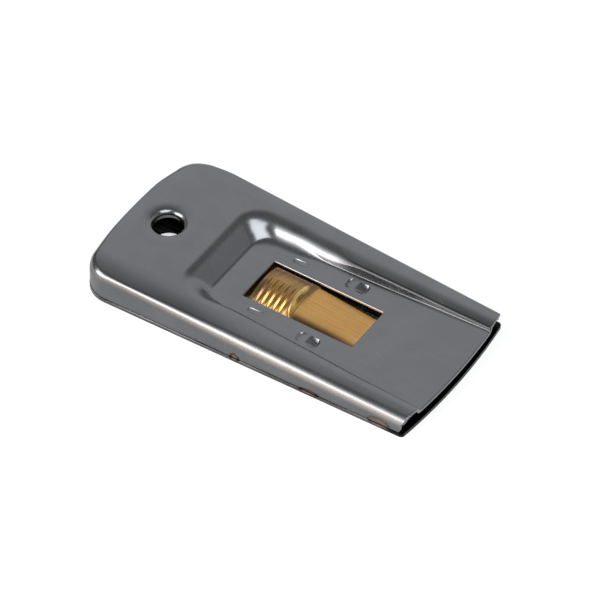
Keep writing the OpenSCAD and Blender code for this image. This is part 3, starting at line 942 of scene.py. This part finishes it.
def use(effect, *values):
    """What a shared effect puts out: its one socket, or all of them."""
    outputs = node_after("ShaderNodeGroup", dict(enumerate(values)), node_tree=effect).outputs
    return outputs[0] if len(outputs) == 1 else outputs


def make_mottle():
    """Cloudy blotches and fine specks, each from 0 to 1."""
    tree, given = new_effect("fine mottle", {"Place": VECTOR, "Size": NUMBER},
                             {"Blotches": NUMBER, "Grain": NUMBER})
    broad = noise(given["Place"], figure("DIVIDE", 1, given["Size"]), 3)
    fine = noise(given["Place"], figure("DIVIDE", 9, given["Size"]), 2)
    return put_out(tree, Blotches=eased(broad, 0.3, 0.7), Grain=eased(fine, 0.3, 0.7))


def make_streaks():
    """Brushed streaks: noise stretched along the axes where its waves per millimetre are few."""
    tree, given = new_effect("brushed streaks", {"Place": VECTOR, "Waves": VECTOR}, {"Streaks": NUMBER})
    stretched = moved("MULTIPLY", given["Place"], given["Waves"])
    return put_out(tree, Streaks=eased(noise(stretched, 1, 4), 0.3, 0.7))


def make_rub_marks():
    """Sparse long hairline rubs at an angle, broken up in patches."""
    tree, given = new_effect("rub marks", {"Place": VECTOR, "Angle": NUMBER}, {"Marks": NUMBER})
    turned = node_after("ShaderNodeVectorRotate", {"Vector": given["Place"], "Angle": given["Angle"]},
                        rotation_type="Z_AXIS").outputs[0]
    lines = noise(moved("MULTIPLY", turned, (0.09, 2.6, 0.5)), 1, 1)
    patches = noise(turned, 0.13, 1)
    return put_out(tree, Marks=times(eased(lines, 0.62, 0.74), eased(patches, 0.48, 0.62)))


HEAT_BANDS = ((0.02, (0.3, 0.3, 0.32)), (0.12, (0.05, 0.1, 0.25)), (0.24, (0.24, 0.13, 0.06)),
              (0.38, (0.17, 0.15, 0.14)), (0.72, (0.16, 0.12, 0.095)), (0.9, (0.05, 0.038, 0.03)))


def make_heat_tint():
    """Oxide colours round a weld: blue in the hot middle, then brown and straw."""
    inputs = {"Place": VECTOR, "Middle": VECTOR, "Reach": VECTOR, "Heat": NUMBER}
    tree, given = new_effect("heat tint", inputs, {"Tint": COLOR, "Share": NUMBER})
    offset = moved("DIVIDE", moved("SUBTRACT", given["Place"], given["Middle"]), given["Reach"])
    uneven = noise(given["Place"], 1.1, 2)
    away = added_up(figure("SUBTRACT", length(offset), 0.35), (uneven, 0.7))
    cooled = figure("SUBTRACT", away, figure("MULTIPLY_ADD", given["Heat"], 0.4, -0.4))
    ramp = node_after("ShaderNodeValToRGB", {"Fac": cooled})
    stops = ramp.color_ramp.elements
    while len(stops) < len(HEAT_BANDS):
        stops.new(0.5)
    for stop, (position, color) in zip(stops, HEAT_BANDS):
        stop.position, stop.color = position, (*color, 1)
    return put_out(tree, Tint=ramp.outputs["Color"], Share=eased(away, 1.05, 0.8))


def make_seam_shade():
    """Painted shade, in patches, that darkens the walls towards the seam between case and plate."""
    tree, given = new_effect("seam shade", {"Place": VECTOR}, {"Grime": NUMBER})
    patches = noise(moved("MULTIPLY", given["Place"], (0.35, 1, 1)), 1, 3)
    low = eased(split(given["Place"])["Z"], 2.6, 0.9)
    return put_out(tree, Grime=times(low, eased(patches, 0.3, 0.7, 0.35, 1)))


MOTTLE, STREAKS, RUB_MARKS = make_mottle(), make_streaks(), make_rub_marks()
HEAT_TINT, SEAM_SHADE = make_heat_tint(), make_seam_shade()

# Welds' middles and reaches in millimetres, and how hot each was
WELD_HEATS = (((36.2, 20.4, 1.3), (3.0, 6.0, 1.5), 1.0), ((18.1, 21.0, 0.9), (2.9, 6.0, 0.9), 0.3),
              ((-1.1, 21.4, 1.1), (1.5, 6.0, 1.25), 0.35))


def with_heat_tints(place, color):
    """Colour with the welds' heat tints over it, the same on both sides."""
    x, y, z = split(place)
    mirrored = node_after("ShaderNodeCombineXYZ", {"X": x, "Y": figure("ABSOLUTE", y), "Z": z}).outputs[0]
    for weld in WELD_HEATS:
        tint, share = use(HEAT_TINT, mirrored, *weld)
        color = blend(share, color, tint)
    return color


MIDDLE_HALF = side_half(0, 0)


def plated_steel():
    """Dull plating of the case: cloudy, grainy and rubbed, rougher on its outer walls, with painted shade on
    its outer walls, its channel walls, the far crest, the near top edge and towards the seam, and a painted
    highlight below the near edge.
    """
    material, place = new_metal("plated steel")
    x, y, z = split(place)
    clouds, _ = use(MOTTLE, place, 8)
    _, specks = use(MOTTLE, place, 2)
    rolled = use(STREAKS, place, (0.06, 2.4, 2.4))
    rubs = use(RUB_MARKS, place, 0.45)
    facing = split(add_node(material.node_tree, "ShaderNodeNewGeometry").outputs["Normal"])
    sideways = figure("ABSOLUTE", facing["Y"])
    upright = eased(figure("ABSOLUTE", facing["Z"]), 0.55, 0.3)
    aside = figure("MULTIPLY_ADD", x, TAPER, figure("ABSOLUTE", y))
    outside = eased(aside, MIDDLE_HALF - 3, MIDDLE_HALF - 2)
    # Outer and rear walls: a rougher finish, and painted shade that darkens their colour by 0.2
    outer_side = times(outside, eased(sideways, 0.74, 0.92))
    outer = figure("MAXIMUM", outer_side, times(upright, eased(x, -35, -39)))
    # Painted highlight: a warm lighter band on the outer edge's rounding, below its highlight
    highlight_tail = times(eased(sideways, 0.8, 0.88), eased(sideways, 0.99, 0.94), outside, eased(x, -40, -30))
    channel = times(rest_of(outside), eased(x, 1, 8))
    # Painted shade: the far channel wall's rounded crest coloured near black, dimming its highlight
    far_crest_shade = times(eased(sideways, 0.3, 0.45), eased(sideways, 0.88, 0.78),
                      eased(z, FLOOR_Z + 0.4, FLOOR_Z + 0.8), eased(y, 0, 2), channel)
    above_foot = eased(z, FLOOR_Z + 0.02, FLOOR_Z + 0.12)
    # Painted shade: the channel's walls towards the front, above their foot, coloured dark
    drawn = times(channel, times(eased(sideways, 0.4, 0.65), above_foot))
    grain = times(specks, rest_of(drawn))
    # Darker band along the near top edge towards the rear: painted shade, mottled like handling wear
    handling_and_edge_shade = times(eased(aside, MIDDLE_HALF - 8, MIDDLE_HALF - 2.2), eased(y, 0, -4), eased(x, 0, -18),
                    eased(sideways, 0.45, 0.2), added_up(0.6, (clouds, 0.2), (specks, 0.3)))
    # The seam term is painted shade that darkens the walls towards the seam
    light = added_up(0.53, (clouds, 0.08), (specks, 0.07), (rolled, 0.03), (rubs, 0.12), (outer, -0.2),
                     (use(SEAM_SHADE, place), -0.08), (handling_and_edge_shade, -0.34))
    color = blend(light, (0.05, 0.05, 0.053), (0.29, 0.295, 0.305))
    color = blend(times(drawn, 0.82), color, (0.062, 0.062, 0.066))
    color = blend(times(far_crest_shade, 0.85), color, (0.022, 0.022, 0.024))
    color = blend(times(highlight_tail, 0.8), color, (0.3, 0.265, 0.245))
    color = with_heat_tints(place, color)
    roughness = added_up(0.19, (clouds, 0.04), (grain, 0.05), (rubs, 0.08), (outer, 0.25))
    height = added_up(0, (grain, 0.04), (clouds, 0.7), (rolled, 0.08))
    return finish_metal(material, color, roughness, height, 0.0025)


def cut_steel():
    """Bright sheared edge of the case's sheet, with fine tear lines across it."""
    material, place = new_metal("sheared steel")
    clouds, specks = use(MOTTLE, place, 3)
    tears = use(STREAKS, place, (5, 5, 0.5))
    color = blend(added_up(0, (tears, 0.6), (clouds, 0.4)), (0.55, 0.5, 0.48), (0.92, 0.84, 0.8))
    roughness = added_up(0.4, (tears, 0.1), (specks, 0.06))
    return finish_metal(material, color, roughness, tears, 0.001)


def rolled_brass():
    """Brass of the thumb slide: brushed along its length, with painted shade on the hump's far half, its
    rear, the wings and the tongue's near edge, and a painted highlight on the roll's crest.
    """
    material, place = new_metal("rolled brass")
    x, y, _ = split(place)
    clouds, specks = use(MOTTLE, place, 4)
    hump = eased(x, 3.8, 2.4)
    flat = rest_of(hump)
    broad = use(STREAKS, place, (0.07, 2.2, 1))
    hairs = times(use(STREAKS, place, (0.2, 7, 1)), flat)
    # Painted shade: dark brown over the hump's far half and rear and over the wings
    far_or_rear = figure("MAXIMUM", eased(y, -2.5, 3.5, 0, 0.8), eased(x, -4, -8))
    wing = eased(y, HUMP_HALF - 0.4, HUMP_HALF)
    slide_shade = figure("MAXIMUM", wing, times(hump, far_or_rear, added_up(0.7, (clouds, 0.5))))
    # Painted highlight: a bright streak along the crest of the broad roll
    from_roll = figure("ABSOLUTE", figure("SUBTRACT", x, 1.6))
    roll = times(eased(from_roll, 0.75, 0.1), eased(y, 4.8, 3))
    # Painted shade: dark brown along the tongue's near edge
    tongue_near_shade = times(flat, eased(y, -3, -4.8, 0, 0.85))
    light = added_up(0.1, (broad, 0.35), (hairs, 0.35), (specks, 0.2))
    color = blend(light, (0.5, 0.26, 0.07), (0.72, 0.43, 0.16))
    color = blend(slide_shade, color, (0.21, 0.14, 0.08))
    color = blend(times(roll, eased(broad, 0, 1, 0.7, 0.95)), color, (0.95, 0.64, 0.25))
    color = blend(tongue_near_shade, color, (0.11, 0.065, 0.03))
    roughness = added_up(0.19, (hairs, 0.1), (specks, 0.06), (slide_shade, 0.08))
    height = added_up(0, (hairs, 0.5), (times(broad, flat), 0.5))
    return finish_metal(material, color, roughness, height, 0.003)


def plate_steel():
    """Darker plain steel of the bottom plate, heat-tinted, with a painted highlight along its upper edge,
    painted light on its hole's wall and painted shade at its front and towards the seam.
    """
    material, place = new_metal("plate steel")
    x, _, z = split(place)
    clouds, specks = use(MOTTLE, place, 6)
    rolled = use(STREAKS, place, (0.05, 2, 2))
    rubs = use(RUB_MARKS, place, -0.3)
    # Painted shade: near black at the front, inside the mouth under the upper sheet
    front = eased(x, 34, 40)
    # Painted highlight: a light line along the plate's upper edge
    edge_highlight = times(eased(z, PLATE - 0.2, PLATE - 0.1, 0, 0.9), rest_of(front), rolled)
    # Painted light: the hole's wall near white, standing in for the bright floor seen through it
    from_hole = length(moved("MULTIPLY", moved("SUBTRACT", place, (*HOLE_MIDDLE, 0)), (1, 1, 0)))
    # The seam term is painted shade, darker towards the bottom
    light = added_up(0.3, (clouds, 0.2), (specks, 0.15), (rolled, 0.2), (rubs, 0.3),
                     (use(SEAM_SHADE, place), -0.15))
    color = blend(light, (0.03, 0.03, 0.032), (0.16, 0.16, 0.168))
    color = blend(front, color, (0.008, 0.008, 0.009))
    color = blend(edge_highlight, color, (0.62, 0.6, 0.58))
    color = with_heat_tints(place, color)
    color = blend(eased(from_hole, 3.85, 3.75), color, (0.85, 0.84, 0.83))
    roughness = added_up(0.24, (clouds, 0.06), (rolled, 0.06), (rubs, 0.1))
    height = added_up(0, (rolled, 0.5), (specks, 0.5))
    return finish_metal(material, color, roughness, height, 0.004)


def weld_steel():
    """Scaly brown metal of the weld nuggets."""
    material, place = new_metal("weld metal")
    clouds, specks = use(MOTTLE, place, 0.6)
    color = with_heat_tints(place, blend(clouds, (0.1, 0.065, 0.045), (0.22, 0.2, 0.19)))
    return finish_metal(material, color, added_up(0.35, (specks, 0.2)), specks, 0.01)


def brushed_metal(name, dark, light, waves, roughness, depth=0.002):
    """Brushed metal of an inner piece, with blotches and rubs."""
    material, place = new_metal(name)
    clouds, specks = use(MOTTLE, place, 3)
    brushed = use(STREAKS, place, waves)
    share = added_up(0, (clouds, 0.35), (brushed, 0.5), (use(RUB_MARKS, place, 0.8), 0.3))
    roughness = added_up(roughness, (brushed, 0.08), (specks, 0.06))
    return finish_metal(material, blend(share, dark, light), roughness, brushed, depth)


def blade_steel():
    """Razor blade: ground along its width, with a brighter bevel behind the cutting edge."""
    material, place = new_metal("blade steel")
    clouds, specks = use(MOTTLE, place, 5)
    polished = use(STREAKS, place, (4, 0.06, 4))
    ground = use(STREAKS, place, (0.4, 7, 0.4))
    bevel = eased(split(place)["X"], BEVEL_X - 0.1, BEVEL_X + 0.1)
    body = blend(added_up(0, (polished, 0.6), (clouds, 0.4)), (0.34, 0.35, 0.36), (0.5, 0.51, 0.52))
    edge = blend(ground, (0.5, 0.51, 0.53), (0.68, 0.69, 0.71))
    roughness = added_up(0.2, (polished, 0.06), (specks, 0.05), (bevel, 0.06))
    height = added_up(0, (polished, 0.4), (times(ground, bevel), 0.6))
    return finish_metal(material, blend(bevel, body, edge), roughness, height, 0.003)


# Brushed metals: name, darkest and lightest colour, waves per millimetre and roughness
SHEARED_BRASS = ("sheared brass", (0.42, 0.23, 0.08), (0.66, 0.42, 0.18), (2, 2, 0.5), 0.28)
BRUSHED = {"blade_carrier": ("carrier steel", (0.2, 0.2, 0.205), (0.42, 0.42, 0.43), (3, 0.08, 3), 0.28),
           "carrier_rivets": ("rivet brass", (0.4, 0.22, 0.07), (0.62, 0.38, 0.14), (2, 2, 2), 0.26),
           "blade_spine": ("spine steel", (0.24, 0.245, 0.25), (0.44, 0.445, 0.45), (3, 0.07, 3), 0.25)}
paint(upper_case, plated_steel(), cut_steel())
paint(thumb_slide, rolled_brass(), brushed_metal(*SHEARED_BRASS, depth=0.0005))
paint(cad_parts["lower_plate"], plate_steel())
paint(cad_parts["seam_welds"], weld_steel())
paint(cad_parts["razor_blade"], blade_steel())
for name, metal in BRUSHED.items():
    paint(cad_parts[name], brushed_metal(*metal))

# Camera, in millimetres and degrees
AZIMUTH = math.radians(33.65)
ELEVATION = math.radians(45.32)
DISTANCE = 1200
LENS = 323.5
SENSOR = 36
AIM = Vector((0.5, 0, 3))
AIM_RIGHT = 1.29
AIM_UP = -0.59

# Studio: strengths of its lights, and the floor's size and drop in metres, glow and colours
ROOM_LIGHT = 0.26
PANEL_LIGHT = 0.9
SIDE_SHARE = 0.42
GLOW_LIGHT = 1.4
HALO_LIGHT = 2.8
FLOOR_HALF = 6
FLOOR_DROP = 0.00002
FLOOR_LIFT = 0.76
FLOOR_LIT = (0.9, 0.9, 0.9)
FLOOR_SEEN = (0.26, 0.26, 0.26)


def towards(azimuth, elevation):
    """Direction from the object; azimuth 0 is in front of the near side and 90 ahead of the blade."""
    return Vector((math.sin(azimuth) * math.cos(elevation), -math.cos(azimuth) * math.cos(elevation),
                   math.sin(elevation)))


def stand(name, data, location, back):
    """Camera or lamp at a location, looking against a direction."""
    thing = add_object(name, data)
    thing.location = location
    thing.rotation_mode = "QUATERNION"
    thing.rotation_quaternion = (-back).to_track_quat("-Z", "Y")
    return thing


def add_camera():
    back = towards(AZIMUTH, ELEVATION)
    right = Vector((math.cos(AZIMUTH), math.sin(AZIMUTH), 0))
    up = back.cross(right)
    camera = bpy.data.cameras.new("camera")
    camera.lens = LENS
    camera.sensor_width = SENSOR
    camera.clip_start, camera.clip_end = 0.05, 50
    location = (AIM + right * AIM_RIGHT + up * AIM_UP + back * DISTANCE) * MM
    scene.camera = stand("camera", camera, location, back)


def add_softbox(name, azimuth, elevation, distance, width, height, radiance, color):
    """Area lamp facing the object; sizes in metres, angles in degrees."""
    lamp = bpy.data.lights.new(name, "AREA")
    lamp.shape = "RECTANGLE"
    lamp.size, lamp.size_y = width, height
    lamp.energy = radiance * width * height * math.pi
    lamp.color = color
    back = towards(math.radians(azimuth), math.radians(elevation))
    stand(name, lamp, back * distance, back).visible_camera = False


def add_world():
    """Dim room: a broad pale panel high behind the object, one at its right, two glows at its left."""
    world = bpy.data.worlds.new("studio")
    scene.world = world
    world.use_nodes = True
    tree = world.node_tree
    x, y, z = split(add_node(tree, "ShaderNodeTexCoord").outputs["Generated"])
    lean = figure("MULTIPLY_ADD", x, 0.5, z)
    panel = times(eased(z, 0.1, 0.55, 0.7, 1), eased(lean, 0.785, 0.625), eased(y, -0.05, 0.6),
                  eased(x, -0.85, -0.62))
    side = times(eased(x, 0.15, 0.5), eased(z, 0.8, 0.62), eased(y, 0, 0.4), SIDE_SHARE)
    left = times(eased(x, -0.85, -0.7), eased(x, -0.1, -0.25))
    glow = times(eased(z, -0.15, 0.2), eased(z, 0.55, 0.35), eased(y, -0.45, -0.65), left)
    halo = times(eased(z, 0.58, 0.66), eased(z, 0.93, 0.64), eased(y, -0.05, -0.25), left)
    limits = {"Value": figure("MAXIMUM", panel, side), "To Min": ROOM_LIGHT, "To Max": PANEL_LIGHT}
    room = node_after("ShaderNodeMapRange", limits).outputs["Result"]
    strength = added_up(room, (glow, GLOW_LIGHT), (halo, HALO_LIGHT))
    fill(tree.nodes["Background"], {"Color": (0.97, 0.98, 1, 1), "Strength": strength})


def add_floor():
    """White floor that keeps the object's shadow."""
    mesh = bpy.data.meshes.new("floor")
    corners = [(x * FLOOR_HALF, y * FLOOR_HALF, 0) for x, y in ((-1, -1), (1, -1), (1, 1), (-1, 1))]
    mesh.from_pydata(corners, [], [(0, 1, 2, 3)])
    floor = add_object("floor", mesh)
    floor.location = (0, 0, -FLOOR_DROP)
    material, shader = new_material("white floor")
    path = add_node(material.node_tree, "ShaderNodeLightPath").outputs
    seen = figure("MAXIMUM", path["Is Camera Ray"], path["Is Glossy Ray"])
    seen = figure("MAXIMUM", seen, path["Is Transmission Ray"])
    fill(shader, {"Base Color": blend(seen, FLOOR_LIT, FLOOR_SEEN), "Roughness": 1, "Specular IOR Level": 0,
                  "Emission Color": (1, 1, 1, 1), "Emission Strength": times(seen, FLOOR_LIFT)})
    paint(floor, material)


add_camera()
add_world()
add_floor()
add_softbox("left softbox", -37, 24.5, 0.7, 0.58, 0.4, 6.2, (1, 0.955, 0.91))
add_softbox("right softbox", 54, 57, 0.9, 0.62, 0.82, 4, (0.94, 0.97, 1))
scene.view_settings.view_transform = "Standard"
